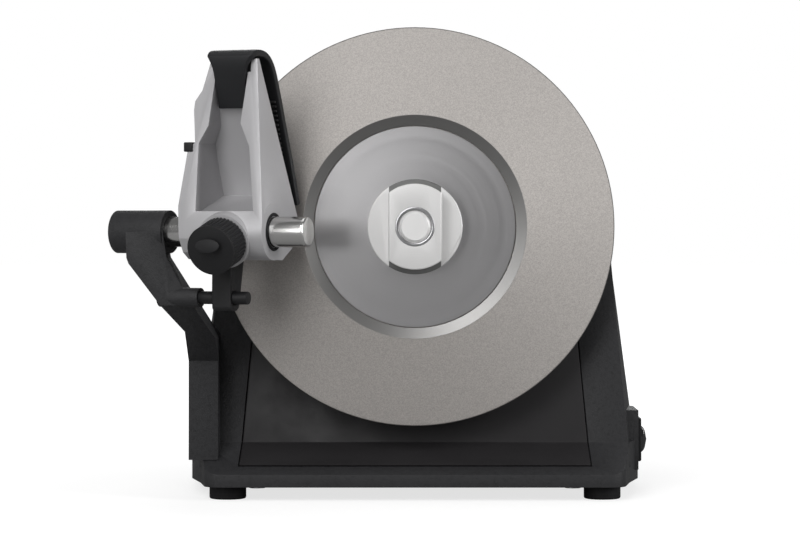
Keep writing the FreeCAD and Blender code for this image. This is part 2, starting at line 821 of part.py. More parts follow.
middle_reach = "coarse_module * (main_teeth + middle_pinion_teeth) / 2"
motor_reach = "fine_module * (motor_teeth + middle_gear_teeth) / 2"
middle_x = "%s * cos(middle_angle * 1 deg)" % middle_reach
middle_z = "axis_height + %s * sin(middle_angle * 1 deg)" % middle_reach
motor_x = "%s + %s * cos(motor_angle * 1 deg)" % (middle_x, motor_reach)
motor_z = "%s + %s * sin(motor_angle * 1 deg)" % (middle_z, motor_reach)
to_middle = math.radians(number("middle_angle"))
to_motor = math.radians(number("motor_angle"))
pinion_phase = to_middle + math.pi + math.pi / number("middle_pinion_teeth")
motor_phase = to_motor + math.pi + math.pi / number("motor_teeth")

gear("main_gear", "coarse_module", "main_teeth", "main_gear_width", "shaft_radius + seat_gap",
     to_middle, "0", "main_gear_at", "axis_height")
gear("middle_pinion", "coarse_module", "middle_pinion_teeth", "main_gear_width + 2",
     "middle_shaft_radius + seat_gap", pinion_phase, middle_x, "main_gear_at - 1", middle_z)
gear("middle_gear", "fine_module", "middle_gear_teeth", "middle_gear_width",
     "middle_shaft_radius + seat_gap", to_motor, middle_x, "middle_gear_at", middle_z)
gear("motor_pinion", "fine_module", "motor_teeth", "middle_gear_width + 2",
     "motor_shaft_radius + seat_gap", motor_phase, motor_x, "middle_gear_at - 1", motor_z)


def along_y(label, radius, start, end, x, z):
    """A plain round bar along Y."""
    bar = cylinder(label + "_bar", radius, "(%s) - (%s)" % (end, start), ("0", "0", "0"), "Y")
    return machine(group(label + "_group", [bar]), label, x, start, z)


def ring_y(label, outer, inner, start, end, x, z):
    """A ring whose axis runs along Y."""
    body = turned(label + "_ring", [(start, inner), (start, outer), (end, outer), (end, inner)])
    return machine(body, label, x, "0", z)


gear_plate_end = "gear_plate_at + mount_plate"
bearing_plate_end = "bearing_plate_at + mount_plate"
along_y("middle_shaft", "middle_shaft_radius", "gear_plate_at", bearing_plate_end, middle_x, middle_z)

# Two plates joined by posts carry the middle shaft and the motor
post_places = [
    ("8 - mount_plate_half", "mount_plate_low + 8"),
    ("mount_plate_half - 8", "mount_plate_low + 8"),
    ("8 - mount_plate_half", "mount_plate_high - 8"),
    ("mount_plate_half - 8", "mount_plate_high - 8"),
]
for label, start in (("gear_plate", "gear_plate_at"), ("bearing_plate", "bearing_plate_at")):
    slab = box(label + "_slab", ("-mount_plate_half", start, "mount_plate_low"),
               ("mount_plate_half", "%s + mount_plate" % start, "mount_plate_high"))
    holes = [
        cylinder(label + "_main_hole", "shaft_radius + 4", "20", ("0", "%s - 5" % start, "axis_height"), "Y"),
        cylinder(label + "_middle_hole", "middle_shaft_radius + running_gap", "20",
                 (middle_x, "%s - 5" % start, middle_z), "Y"),
    ]
    if label == "gear_plate":
        holes.append(cylinder(label + "_motor_hole", "motor_shaft_radius + 1", "20",
                              (motor_x, "%s - 5" % start, motor_z), "Y"))
    machine(cut(label + "_cut", slab, *holes), label)
posts = []
for x, z in post_places:
    for start, end in ((gear_plate_end, "bearing_plate_at"), (bearing_plate_end, far_face + " - wall")):
        posts.append(cylinder("post", "post_radius", "(%s) - (%s)" % (end, start), (x, start, z), "Y"))
machine(group("post_set", posts), "plate_posts")

# Motor: stator, windings, end shields, rotor, shaft and fan
stator_end = "stator_at + stator_length"
inner = "rotor_radius + air_gap"
ring_y("motor_stator", "stator_radius", inner, "stator_at", stator_end, motor_x, motor_z)
ring_y("front_winding", "stator_radius - 3", "%s + 3" % inner,
       "stator_at - winding_length", "stator_at", motor_x, motor_z)
ring_y("rear_winding", "stator_radius - 3", "%s + 3" % inner,
       stator_end, "gear_plate_at - 0.5", motor_x, motor_z)
ring_y("motor_rotor", "rotor_radius", "motor_shaft_radius + seat_gap", "stator_at", stator_end,
       motor_x, motor_z)
shield = turned("front_shield_cup", [
    ("stator_at - winding_length - shield_thickness", "motor_shaft_radius + running_gap"),
    ("stator_at - winding_length - shield_thickness", "stator_radius + 1"),
    ("stator_at", "stator_radius + 1"),
    ("stator_at", "stator_radius - 2"),
    ("stator_at - winding_length", "stator_radius - 2"),
    ("stator_at - winding_length", "motor_shaft_radius + running_gap"),
])
machine(shield, "motor_shield", motor_x, "0", motor_z)
carrier = turned("motor_carrier_ring", [
    (stator_end, "stator_radius - 2"),
    (stator_end, "stator_radius + 1"),
    ("gear_plate_at", "stator_radius + 1"),
    ("gear_plate_at", "stator_radius - 2"),
])
machine(carrier, "motor_spacer", motor_x, "0", motor_z)
along_y("motor_shaft", "motor_shaft_radius", "stator_at - winding_length - shield_thickness - 6",
        "middle_gear_at + middle_gear_width + 1", motor_x, motor_z)

fan_end = "stator_at - winding_length - shield_thickness - 0.6"
hub = cylinder("fan_hub", "motor_shaft_radius + 3", "5", ("0", "-5", "0"), "Y")
back = cylinder("fan_back", "fan_radius", "1", ("0", "-1", "0"), "Y")
fan_parts = [hub, back]
for index in range(VALUES["fan_blades"]):
    blade = box("fan_blade", ("motor_shaft_radius + 2", "-5", "-0.6"), ("fan_radius - 1", "0", "0.6"))
    spin = document.addObject("Part::Compound", "fan_blade_turned")
    spin.Links = [blade]
    spin.Placement = FreeCAD.Placement(
        FreeCAD.Vector(), FreeCAD.Rotation(FreeCAD.Vector(0, 1, 0), 360 * index / VALUES["fan_blades"])
    )
    fan_parts.append(spin)
fan_bore = cylinder("fan_bore", "motor_shaft_radius + seat_gap", "20", ("0", "-10", "0"), "Y")
machine(cut("fan_cut", fuse("fan_whole", *fan_parts), fan_bore), "cooling_fan",
        motor_x, fan_end, motor_z)

# Electrics: capacitor, terminal block, switch and inlet
capacitor = cylinder("capacitor_can", "12", "46", ("0", "0", "0"))
machine(group("capacitor_group", [capacitor]), "run_capacitor",
        "-60", "face_setback + 30", "skirt_bottom + plate_thickness")
terminals = box("terminal_bar", ("-80", mid_plane, "skirt_bottom + plate_thickness"),
                ("-68", mid_plane + " + 40", "skirt_bottom + plate_thickness + 14"))
machine(group("terminal_group", [terminals]), "terminal_block")

half_width = "switch_width / 2"
half_height = "switch_height / 2"
bezel_out = box("bezel_out", ("switch_boss_x - 20", "switch_y - %s + part_gap" % half_width,
                              "switch_z - %s + part_gap" % half_height),
                ("switch_boss_x + 1.6", "switch_y + %s - part_gap" % half_width,
                 "switch_z + %s - part_gap" % half_height))
bezel_in = box("bezel_in", ("switch_boss_x - 12", "switch_y - %s + 2.5" % half_width,
                            "switch_z - %s + 2.5" % half_height),
               ("switch_boss_x + 5", "switch_y + %s - 2.5" % half_width,
                "switch_z + %s - 2.5" % half_height))
machine(cut("bezel_cut", bezel_out, bezel_in), "switch_body")
rocker_edge = "(%s - 3.4)" % half_height
rocker = prism("rocker_outline", "XZ", [
    ("switch_boss_x - 8", "switch_z - %s" % rocker_edge),
    ("switch_boss_x + 0.5", "switch_z - %s" % rocker_edge),
    ("switch_boss_x + rocker_proud - 1", "switch_z - %s + 2.4" % rocker_edge),
    ("switch_boss_x + rocker_proud", "switch_z"),
    ("switch_boss_x + rocker_proud - 1", "switch_z + %s - 2.4" % rocker_edge),
    ("switch_boss_x + 0.5", "switch_z + %s" % rocker_edge),
    ("switch_boss_x - 8", "switch_z + %s" % rocker_edge),
], "switch_y - %s + 2.9" % half_width, "switch_y + %s - 2.9" % half_width)
machine(group("rocker_group", [rocker]), "switch_rocker")

inlet_x = "-(%s)" % inlet_face
flange = box("inlet_flange_plate",
             ("%s - 2" % inlet_x, "inlet_y - inlet_width / 2 - inlet_flange + part_gap",
              "inlet_z - inlet_height / 2 - inlet_flange + part_gap"),
             (inlet_x, "inlet_y + inlet_width / 2 + inlet_flange - part_gap",
              "inlet_z + inlet_height / 2 + inlet_flange - part_gap"))
socket = box("inlet_box", ("%s - 1" % inlet_x, "inlet_y - inlet_width / 2", "inlet_z - inlet_height / 2"),
             ("%s + 24" % inlet_x, "inlet_y + inlet_width / 2", "inlet_z + inlet_height / 2"))
hollow = box("inlet_hollow",
             ("%s - 3" % inlet_x, "inlet_y - inlet_width / 2 + 2", "inlet_z - inlet_height / 2 + 2"),
             ("%s + 20" % inlet_x, "inlet_y + inlet_width / 2 - 2", "inlet_z + inlet_height / 2 - 2"))
machine(cut("inlet_cut", fuse("inlet_whole", flange, socket), hollow), "power_inlet")
blades = [
    box("inlet_pin", ("%s + 4" % inlet_x, "inlet_y + %d - 1" % offset, "inlet_z - 2 + %d" % lift),
        ("%s + 20" % inlet_x, "inlet_y + %d + 1" % offset, "inlet_z + 2 + %d" % lift))
    for offset, lift in ((-7, -2), (0, 2), (7, -2))
]
machine(group("inlet_pin_set", blades), "inlet_pins")

# Guide arm: a leaning bracket with a round boss that grips the rod
face = "face_setback"
front_view = prism("arm_front", "XZ", [
    ("post_left", "skirt_bottom + lip_height + 6.2"),
    ("post_right", "skirt_bottom + lip_height + 6.2"),
    ("post_right", "77.4"),
    ("guide_x - 31", "guide_z - 12"),
    ("guide_x - 33", "guide_z"),
    ("guide_x - 50", "guide_z"),
    ("guide_x - 49.6", "guide_z - 12"),
    ("guide_x - 48.6", "112.9"),
    ("post_left", "80.7"),
], "-60", "40")
side_view = prism("arm_side", "YZ", [
    ("post_front", "skirt_bottom + lip_height + 6.2"),
    (face, "fold_height + 1"),
    (face, "80"),
    ("guide_y + 29", "guide_z - 12"),
    ("guide_y + 26", "guide_z + 2"),
    ("guide_y + 5", "guide_z + 2"),
    ("guide_y + 5", "guide_z - 34"),
    ("post_front", "66"),
], "-160", "-60")
bracket = common("arm_bracket", front_view, side_view)


def rod_frame(thing):
    """Turn a helper solid from the rod's frame into the machine's."""
    carrier = document.addObject("Part::Compound", thing.Name + "_set")
    carrier.Links = [thing]
    yaw = FreeCAD.Rotation(FreeCAD.Vector(0, 0, 1), -number("rod_yaw"))
    return place(carrier, "guide_x", "guide_y", "guide_z", yaw)


boss = rod_frame(cylinder("arm_boss", "boss_radius", "boss_right - boss_left", ("boss_left", "0", "0"), "X"))
lug = rod_frame(cylinder("arm_lug", "lug_radius", "lug_right + 36", ("-36", "pin_y", "pin_z"), "X"))
arm = fuse_pair("arm_whole", fuse_pair("arm_head", bracket, boss), lug)
rod_bore = rod_frame(cylinder("arm_rod_bore", "rod_radius + seat_gap", "40", ("rod_left", "0", "0"), "X"))
pin_bore = rod_frame(cylinder("arm_pin_bore", "pin_radius + seat_gap", "30",
                              ("lug_right - 10", "pin_y", "pin_z"), "X"))
screw_bore = rod_frame(cylinder("arm_screw_bore", "2.5 + seat_gap", "20",
                                ("(boss_left + boss_right) / 2", "0", "0"), "-Z"))
machine(cut("arm_cut", arm, rod_bore, pin_bore, screw_bore), "guide_arm")

rod_bar = new_body("rod_bar")
rod_sketch = body_sketch(rod_bar, "XZ")
draw_polygon(rod_sketch, [
    ("rod_left", "0"),
    ("rod_left", "rod_radius"),
    ("rod_right - 0.7", "rod_radius"),
    ("rod_right", "rod_radius - 0.7"),
    ("rod_right", "0"),
])
rod_turn = rod_bar.newObject("PartDesign::Revolution", "rod_turn")
rod_turn.Profile = rod_sketch
rod_turn.ReferenceAxis = (rod_sketch, ["H_Axis"])
rod_turn.Angle = 360
on_rod(rod_bar, "guide_rod")
set_screw = cylinder("set_screw", "2.5", "2.6", ("0", "0", "0"), "-Z")
on_rod(group("set_screw_group", [set_screw]), "rod_set_screw",
       "(boss_left + boss_right) / 2", "0", "-rod_radius - 0.1")
pin = cylinder("pin_bar", "pin_radius", "pin_right - lug_right + 10", ("0", "0", "0"), "X")
on_rod(group("pin_group", [pin]), "support_pin", "lug_right - 10", "pin_y", "pin_z")

# Angle lever: an eye on the rod and a leg that slides on the support pin
eye = cylinder("lever_eye", "eye_radius", "eye_right - eye_left", ("eye_left", "0", "0"), "X")
leg = prism("lever_leg", "YZ", [
    ("-7", "-2"),
    ("-7", "pin_z - 4.5"),
    ("-6", "pin_z - 6"),
    ("0", "pin_z - 6"),
    ("2", "pin_z - 4.5"),
    ("9", "-4"),
], "eye_left", "eye_right")
lever_bore = cylinder("lever_bore", "rod_radius + running_gap", "60", ("-30", "0", "0"), "X")
lever_pin_bore = cylinder("lever_pin_bore", "pin_radius + running_gap", "60", ("-30", "pin_y", "pin_z"), "X")
lever = cut("lever_cut", fuse("lever_whole", eye, leg), lever_bore, lever_pin_bore)
on_rod(lever, "angle_lever")

# Knife guide: a wedge with two horns, a deep pocket, a slot for the lever's eye
# and a boss for the clamp screw, all drawn in the rod's frame
guide_slope = "((guide_back - tip_back) / guide_top)"
wedge_side = prism("wedge_side", "YZ", [
    ("guide_front", "-3"),
    ("-8.9", "-9.4"),
    ("-3.5", "-12.6"),
    ("9", "-13"),
    ("24", "-5"),
    ("guide_back", "3"),
    ("tip_back", "guide_top"),
    ("tip_front", "guide_top"),
    ("guide_front", "3"),
], "guide_left - 5", "guide_right + 5")
wedge_front = prism("wedge_front", "XZ", [
    ("guide_left + 1", "-14"),
    ("guide_right", "-14"),
    ("guide_right", "7"),
    ("guide_right - 4.4", "guide_top"),
    ("guide_right - 7.5", "guide_top + 1"),
    ("-2.9", "guide_top + 1"),
    ("-6.7", "guide_top"),
    ("-11", "65"),
    ("-14.6", "60"),
    ("-15.1", "56"),
    ("-14.1", "41"),
    ("-17.6", "38.6"),
    ("guide_left", "12"),
], "-40", "40")
wedge = common("wedge", wedge_side, wedge_front)
hollow_side = prism("hollow_side", "YZ", [
    ("-40", "9.5"),
    ("tip_front + 1", "9.5"),
    ("guide_back - 17 * %s - guide_skin" % guide_slope, "17"),
    ("tip_back - guide_skin", "guide_top"),
    ("tip_back - guide_skin", "guide_top + 5"),
    ("-40", "guide_top + 5"),
], "-20", "20")
hollow_front = prism("hollow_front", "XZ", [
    ("-13.1", "9"),
    ("16.4", "9"),
    ("13.6", "39"),
    ("8.9", "49.6"),
    ("13.5", "guide_top + 4"),
    ("-2.9", "guide_top + 4"),
    ("-7.5", "48.7"),
    ("-12.3", "40.6"),
], "-50", "50")
guide_hollow = common("guide_hollow", hollow_side, hollow_front)
crotch = box("guide_crotch", ("-2.9", "-30", "guide_top - 6"), ("13.5", "30", "guide_top + 5"))
dip = FreeCAD.Rotation(FreeCAD.Vector(1, 0, 0), 90 + number("knob_dip"))


def on_screw(thing, near):
    """Stand a helper on the clamp screw's axis, square to the rod and dipping to the viewer."""
    reach = "(%s)" % near
    return place(thing, "knob_x", "-%s * cos(knob_dip * 1 deg)" % reach,
                 "-%s * sin(knob_dip * 1 deg)" % reach, dip)


screw_boss = on_screw(document.addObject("Part::Cylinder", "guide_screw_boss"), "4")
bind(screw_boss, Radius="knob_radius + 1.2", Height="knob_near - 4.4")
right_boss = cylinder("guide_right_boss", "13", "guide_right - 8", ("8", "0", "0"), "X")
guide_solid = fuse("guide_solid", wedge, screw_boss, right_boss)
slot_round = cylinder("guide_slot_round", "eye_radius + slot_gap", "eye_right - eye_left + 2 * slot_gap",
                      ("eye_left - slot_gap", "0", "0"), "X")
slot_down = box("guide_slot_down", ("eye_left - slot_gap", "-14.5", "-40"),
                ("eye_right + slot_gap", "30", "-3"))
guide_rod_bore = cylinder("guide_rod_bore", "rod_radius + running_gap", "80", ("-40", "0", "0"), "X")
screw_hole = on_screw(document.addObject("Part::Cylinder", "guide_screw_hole"), "9")
bind(screw_hole, Radius="2.5 + running_gap", Height="12")
guide_piece = cut("guide_cut", guide_solid, guide_hollow, crotch, slot_round, slot_down,
                  guide_rod_bore, screw_hole)
on_rod(guide_piece, "knife_guide")

# Clamp screw and its ridged knob
stem = on_screw(document.addObject("Part::Cylinder", "clamp_stem"), "eye_radius + 0.2")
bind(stem, Radius="2.5", Height="knob_near + 5 - eye_radius")
on_rod(group("clamp_stem_group", [stem]), "clamp_screw")
knob = new_body("knob")
knob_sketch = body_sketch(knob, "XY")
draw_circle(knob_sketch, "0", "0", "knob_radius")
pad(knob, knob_sketch, "knob_length")
document.recompute()
socket_sketch = body_sketch(knob, "XY")
draw_circle(socket_sketch, "0", "0", "2.5 + seat_gap")
pocket(knob, socket_sketch, "5.8", backwards=True)
groove_sketch = body_sketch(knob, "XY")
draw_circle(groove_sketch, "knob_radius + 0.1", "0", "0.55")
groove = pocket(knob, groove_sketch, "knob_length - 1.2", backwards=True)
repeat_around(knob, groove, "knob_ridges", groove_sketch, "N_Axis")
on_rod(knob, "clamp_knob", "knob_x", "-knob_near * cos(knob_dip * 1 deg)",
       "-knob_near * sin(knob_dip * 1 deg)", dip)

# Blade presser: one soft loop over the horns whose back leg closes on the guide's back
strap_side = prism("strap_side", "YZ", [
    ("tip_back - guide_skin - 0.4", "57"),
    ("tip_back - guide_skin - 0.4", "guide_top + 0.3"),
    ("tip_back + 5", "guide_top + 0.3"),
    ("tip_back + 12", "guide_top - 5"),
    ("tip_back + 15.5", "guide_top - 14"),
    ("guide_back + 0.6", "9.6"),
    ("guide_back + 5.4", "13"),
    ("tip_back + 20", "guide_top - 12"),
    ("tip_back + 16", "guide_top - 1"),
    ("tip_back + 7", "strap_top"),
    ("tip_front - 3.6", "strap_top"),
    ("tip_back - guide_skin - strap_thickness - 0.4", "guide_top - 1"),
    ("tip_back - guide_skin - strap_thickness - 0.4", "57"),
], "-40", "40")
strap_front = prism("strap_front", "XZ", [
    ("-14", "8"),
    ("20.4", "8"),
    ("guide_right - 4.8", "strap_top + 1"),
    ("strap_left", "strap_top + 1"),
], "tip_back + 1", "60")
strap_tongue = prism("strap_tongue", "XZ", [
    ("-5.4", "57"),
    ("9.4", "57"),
    ("12.8", "strap_top + 1"),
    ("-2.5", "strap_top + 1"),
], "-40", "tip_back + 1.5")
strap_cap = box("strap_cap", ("strap_left", "-40", "guide_top + 0.3"),
                ("guide_right - 4.8", "tip_back + 2", "strap_top + 1"))
strap = common("strap", strap_side, fuse("strap_plan", strap_front, strap_tongue, strap_cap))
on_rod(strap, "blade_presser")

# Check everything, then write each piece
document.recompute()
for thing in document.Objects:
    if "Invalid" in thing.State or "Error" in thing.State:
        raise RuntimeError(thing.Label + " failed")
os.makedirs("parts", exist_ok=True)
for thing in NODES:
    shape = thing.Shape
    if shape.isNull() or not shape.isValid() or not shape.Solids:
        raise RuntimeError(thing.Label + " has no sound solid")
    shape.exportStep("parts/" + thing.Label + ".step")
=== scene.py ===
import bpy
import json
import math
from mathutils import Matrix, Vector


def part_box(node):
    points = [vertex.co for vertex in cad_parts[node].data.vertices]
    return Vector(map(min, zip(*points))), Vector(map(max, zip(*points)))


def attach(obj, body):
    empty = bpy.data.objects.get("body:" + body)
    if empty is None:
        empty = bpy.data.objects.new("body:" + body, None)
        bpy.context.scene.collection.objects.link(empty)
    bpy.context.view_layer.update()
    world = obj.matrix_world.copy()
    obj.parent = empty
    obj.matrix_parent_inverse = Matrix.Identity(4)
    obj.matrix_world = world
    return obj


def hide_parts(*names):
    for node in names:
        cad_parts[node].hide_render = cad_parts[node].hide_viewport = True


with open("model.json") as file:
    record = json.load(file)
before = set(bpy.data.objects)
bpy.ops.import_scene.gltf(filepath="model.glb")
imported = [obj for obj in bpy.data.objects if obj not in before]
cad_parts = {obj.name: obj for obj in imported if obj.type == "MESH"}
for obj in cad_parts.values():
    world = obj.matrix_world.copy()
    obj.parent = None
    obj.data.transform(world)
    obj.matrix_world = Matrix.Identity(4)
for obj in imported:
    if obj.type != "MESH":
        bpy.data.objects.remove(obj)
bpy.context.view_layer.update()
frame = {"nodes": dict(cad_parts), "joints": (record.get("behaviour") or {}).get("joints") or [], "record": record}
bpy.ops.object.select_all(action="DESELECT")

MM = 0.001
WHEEL_RADIUS = 95 * MM
HONING_RADIUS = 92 * MM
RECESS_RADIUS = 52.6 * MM
RECESS_FLOOR_RADIUS = 47.6 * MM
RIM_WIDTH = 5 * MM
NUT_GRIP_HALF = 12.2 * MM
NUT_GRIP_END = 20.1 * MM
NODES = frame["nodes"]
BODY_OF = {n: b for b, group in frame["record"]["behaviour"]["bodies"].items() for n in group}
SLOT_OF = {row["node"]: row["material_slot"] for row in frame["record"]["subparts"]}

# Places that everything else is counted from
wheel_low, wheel_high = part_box("grinding_wheel")
AXIS_X = (wheel_low.x + wheel_high.x) / 2
AXIS_Z = (wheel_low.z + wheel_high.z) / 2
RIM_Y = wheel_high.y - RIM_WIDTH
joints = {j["name"]: j for j in frame["joints"]}
TILT = joints["guide_tilt"]
ROD_ORIGIN = Vector(TILT["pos_m"])
ROD_ALONG = Vector(TILT["axis"]).normalized()
ROD_UP = Vector((0, 0, 1))
ROD_AWAY = ROD_UP.cross(ROD_ALONG)


def rod_point(x, y, z):
    """A point given in millimetres along the rod, away from the viewer and up."""
    return ROD_ORIGIN + (ROD_ALONG * x + ROD_AWAY * y + ROD_UP * z) * MM


# Shader groups shared by several finishes

def new_group(name, inputs, outputs):
    group = bpy.data.node_groups.new(name, "ShaderNodeTree")
    for label, kind, value in inputs:
        socket = group.interface.new_socket(label, in_out="INPUT", socket_type=kind)
        if value is not None:
            socket.default_value = value
    for label, kind in outputs:
        group.interface.new_socket(label, in_out="OUTPUT", socket_type=kind)
    return group, group.nodes.new("NodeGroupInput"), group.nodes.new("NodeGroupOutput")


def add(tree, kind, **settings):
    """A node with its sockets set by name."""
    made = tree.nodes.new(kind)
    for key, value in settings.items():
        made.inputs[key].default_value = value
    return made


def math_node(tree, operation, first, second=None, third=None):
    made = tree.nodes.new("ShaderNodeMath")
    made.operation = operation
    for i, value in enumerate((first, second, third)):
        if value is None:
            continue
        if hasattr(value, "is_output"):
            tree.links.new(value, made.inputs[i])
        else:
            made.inputs[i].default_value = value
    return made.outputs[0]


def noise_of(tree, vector, scale, detail=4.0, rough=0.55):
    made = add(tree, "ShaderNodeTexNoise", Detail=detail, Roughness=rough)
    if hasattr(scale, "is_output"):
        tree.links.new(scale, made.inputs["Scale"])
    else:
        made.inputs["Scale"].default_value = scale
    tree.links.new(vector, made.inputs["Vector"])
    return made.outputs["Fac"]


def range_of(tree, value, low, high, to_low, to_high):
    made = tree.nodes.new("ShaderNodeMapRange")
    tree.links.new(value, made.inputs["Value"])
    for label, number in (("From Min", low), ("From Max", high), ("To Min", to_low), ("To Max", to_high)):
        if hasattr(number, "is_output"):
            tree.links.new(number, made.inputs[label])
        else:
            made.inputs[label].default_value = number
    return made.outputs[0]


def make_grain_group():
    """Pebbled coating: rounded grains on a slow unevenness, as a height and a mask."""
    group, into, out = new_group(
        "coating_grain",
        [("Vector", "NodeSocketVector", None), ("Grain Scale", "NodeSocketFloat", 900.0),
         ("Softness", "NodeSocketFloat", 0.5)],
        [("Height", "NodeSocketFloat"), ("Mask", "NodeSocketFloat")],
    )
    fine = noise_of(group, into.outputs["Vector"], into.outputs["Grain Scale"], 3.0, 0.6)
    coarse_scale = math_node(group, "MULTIPLY", into.outputs["Grain Scale"], 0.33)
    coarse = noise_of(group, into.outputs["Vector"], coarse_scale, 2.0, 0.5)
    mixed = math_node(group, "MULTIPLY_ADD", coarse, into.outputs["Softness"], fine)
    group.links.new(mixed, out.inputs["Height"])
    group.links.new(range_of(group, mixed, 0.55, 0.95, 0.0, 1.0), out.inputs["Mask"])
    return group


def make_tone_group():
    """Uneven tone: a colour made lighter and darker by two slow noises."""
    group, into, out = new_group(
        "uneven_tone",
        [("Vector", "NodeSocketVector", None), ("Color", "NodeSocketColor", (0.5, 0.5, 0.5, 1)),
         ("Amount", "NodeSocketFloat", 0.1), ("Patch Scale", "NodeSocketFloat", 25.0)],
        [("Color", "NodeSocketColor")],
    )
    slow = noise_of(group, into.outputs["Vector"], into.outputs["Patch Scale"], 5.0, 0.6)
    swing = math_node(group, "SUBTRACT", slow, 0.5)
    gain = math_node(group, "MULTIPLY_ADD", math_node(group, "MULTIPLY", swing, 2.0),
                     into.outputs["Amount"], 1.0)
    scaled = group.nodes.new("ShaderNodeVectorMath")
    scaled.operation = "SCALE"
    group.links.new(into.outputs["Color"], scaled.inputs[0])
    group.links.new(gain, scaled.inputs["Scale"])
    group.links.new(scaled.outputs[0], out.inputs["Color"])
    return group


def make_radius_group():
    """Distance from the wheels' shared axis, in metres."""
    group, into, out = new_group(
        "axis_distance",
        [("Vector", "NodeSocketVector", None)],
        [("Radius", "NodeSocketFloat")],
    )
    split = group.nodes.new("ShaderNodeSeparateXYZ")
    group.links.new(into.outputs["Vector"], split.inputs[0])
    across = math_node(group, "SUBTRACT", split.outputs["X"], AXIS_X)
    upward = math_node(group, "SUBTRACT", split.outputs["Z"], AXIS_Z)
    square = math_node(group, "ADD", math_node(group, "MULTIPLY", across, across),
                       math_node(group, "MULTIPLY", upward, upward))
    group.links.new(math_node(group, "SQRT", square), out.inputs["Radius"])
    return group


GRAIN = make_grain_group()
TONE = make_tone_group()
RADIUS = make_radius_group()


def place_group(tree, group, vector, **values):
    made = tree.nodes.new("ShaderNodeGroup")
    made.node_tree = group
    tree.links.new(vector, made.inputs["Vector"])
    for key, value in values.items():
        made.inputs[key.replace("_", " ")].default_value = value
    return made


def start_material(name):
    """A material with its Principled shader and the object's own coordinates."""
    made = bpy.data.materials.new(name)
    made.use_nodes = True
    tree = made.node_tree
    shader = tree.nodes["Principled BSDF"]
    where = tree.nodes.new("ShaderNodeTexCoord").outputs["Object"]
    return made, tree, shader, where


def mix_color(tree, factor, first, second):
    made = tree.nodes.new("ShaderNodeMix")
    made.data_type = "RGBA"
    tree.links.new(factor, made.inputs["Factor"])
    for slot, value in ((6, first), (7, second)):
        if hasattr(value, "is_output"):
            tree.links.new(value, made.inputs[slot])
        else:
            made.inputs[slot].default_value = (*value, 1)
    return made.outputs[2]


def coated(name, color, roughness, metallic=0.0, grain=900.0, depth=0.02, tone=0.12,
           patch=25.0, rough_swing=0.08, coat=0.0, softness=0.5, specular=0.5, grain_peak_highlight=0.0):
    """A general finish: uneven tone, grain in the surface, a roughness that varies and, if asked, a painted
    highlight lightening the grain's raised peaks.
    """
    made, tree, shader, where = start_material(name)
    shader.inputs["Metallic"].default_value = metallic
    shader.inputs["Coat Weight"].default_value = coat
    shader.inputs["Specular IOR Level"].default_value = specular
    toned = place_group(tree, TONE, where, Color=(*color, 1), Amount=tone, Patch_Scale=patch)
    grained = place_group(tree, GRAIN, where, Grain_Scale=grain, Softness=softness)
    tone_out = toned.outputs["Color"]
    # Painted highlight: the raised grain peaks are lightened in colour.
    if grain_peak_highlight:
        share = math_node(tree, "MULTIPLY", grained.outputs["Mask"], grain_peak_highlight)
        tone_out = mix_color(tree, share, tone_out, [3.4 * c for c in color])
    tree.links.new(tone_out, shader.inputs["Base Color"])
    smear = noise_of(tree, where, 60.0, 4.0, 0.6)
    rough = range_of(tree, smear, 0.3, 0.7, roughness - rough_swing, roughness + rough_swing)
    tree.links.new(rough, shader.inputs["Roughness"])
    bump = add(tree, "ShaderNodeBump", Strength=1.0, Distance=depth * MM)
    tree.links.new(grained.outputs["Height"], bump.inputs["Height"])
    tree.links.new(bump.outputs[0], shader.inputs["Normal"])
    return made


def band(tree, radius, inner, outer, soft=0.0002):
    """1 between two radii, 0 elsewhere."""
    rise = range_of(tree, radius, inner - soft, inner + soft, 0.0, 1.0)
    fall = range_of(tree, radius, outer - soft, outer + soft, 1.0, 0.0)
    return math_node(tree, "MULTIPLY", rise, fall)


def grit_wheel(name, grit_color, inner, bevel, rim):
    """Fine abrasive on the cone, turned bright metal at the recess, a dark edge at the rim that is painted shade
    for the rim's chamfer.
    """
    made, tree, shader, where = start_material(name)
    around = place_group(tree, RADIUS, where)
    radius = around.outputs["Radius"]
    bright = band(tree, radius, bevel, inner)
    # Painted shade: the thin dark band at the rim darkens the rim's chamfer.
    edge = band(tree, radius, rim - 0.35 * MM, rim + 1)
    toned = place_group(tree, TONE, where, Color=(*grit_color, 1), Amount=0.04, Patch_Scale=14.0)
    speckle = tree.nodes.new("ShaderNodeTexVoronoi")
    speckle.inputs["Scale"].default_value = 2600.0
    tree.links.new(where, speckle.inputs["Vector"])
    shine = range_of(tree, speckle.outputs["Color"], 0.2, 1.0, 0.84, 1.16)
    spark = tree.nodes.new("ShaderNodeVectorMath")
    spark.operation = "SCALE"
    tree.links.new(toned.outputs["Color"], spark.inputs[0])
    tree.links.new(shine, spark.inputs["Scale"])
    color = mix_color(tree, bright, spark.outputs[0], (0.22, 0.217, 0.213))
    color = mix_color(tree, edge, color, (0.03, 0.03, 0.03))
    tree.links.new(color, shader.inputs["Base Color"])
    metallic = range_of(tree, bright, 0, 1, 0.3, 1.0)
    tree.links.new(metallic, shader.inputs["Metallic"])
    rough = range_of(tree, bright, 0, 1, 0.66, 0.42)
    tree.links.new(rough, shader.inputs["Roughness"])
    grained = place_group(tree, GRAIN, where, Grain_Scale=1900.0, Softness=0.3)
    height = math_node(tree, "MULTIPLY", grained.outputs["Height"],
                       range_of(tree, bright, 0, 1, 1.0, 0.0))
    lathe = noise_of_radius(tree, radius, 9000.0)
    height = math_node(tree, "MULTIPLY_ADD", math_node(tree, "MULTIPLY", lathe, bright), 0.03, height)
    bump = add(tree, "ShaderNodeBump", Strength=1.0, Distance=0.035 * MM)
    tree.links.new(height, bump.inputs["Height"])
    tree.links.new(bump.outputs[0], shader.inputs["Normal"])
    return made


def noise_of_radius(tree, radius, scale):
    """Lathe marks: a noise that only changes with the distance from the axis."""
    joined = tree.nodes.new("ShaderNodeCombineXYZ")
    tree.links.new(radius, joined.inputs["X"])
    return noise_of(tree, joined.outputs[0], scale, 5.0, 0.7)


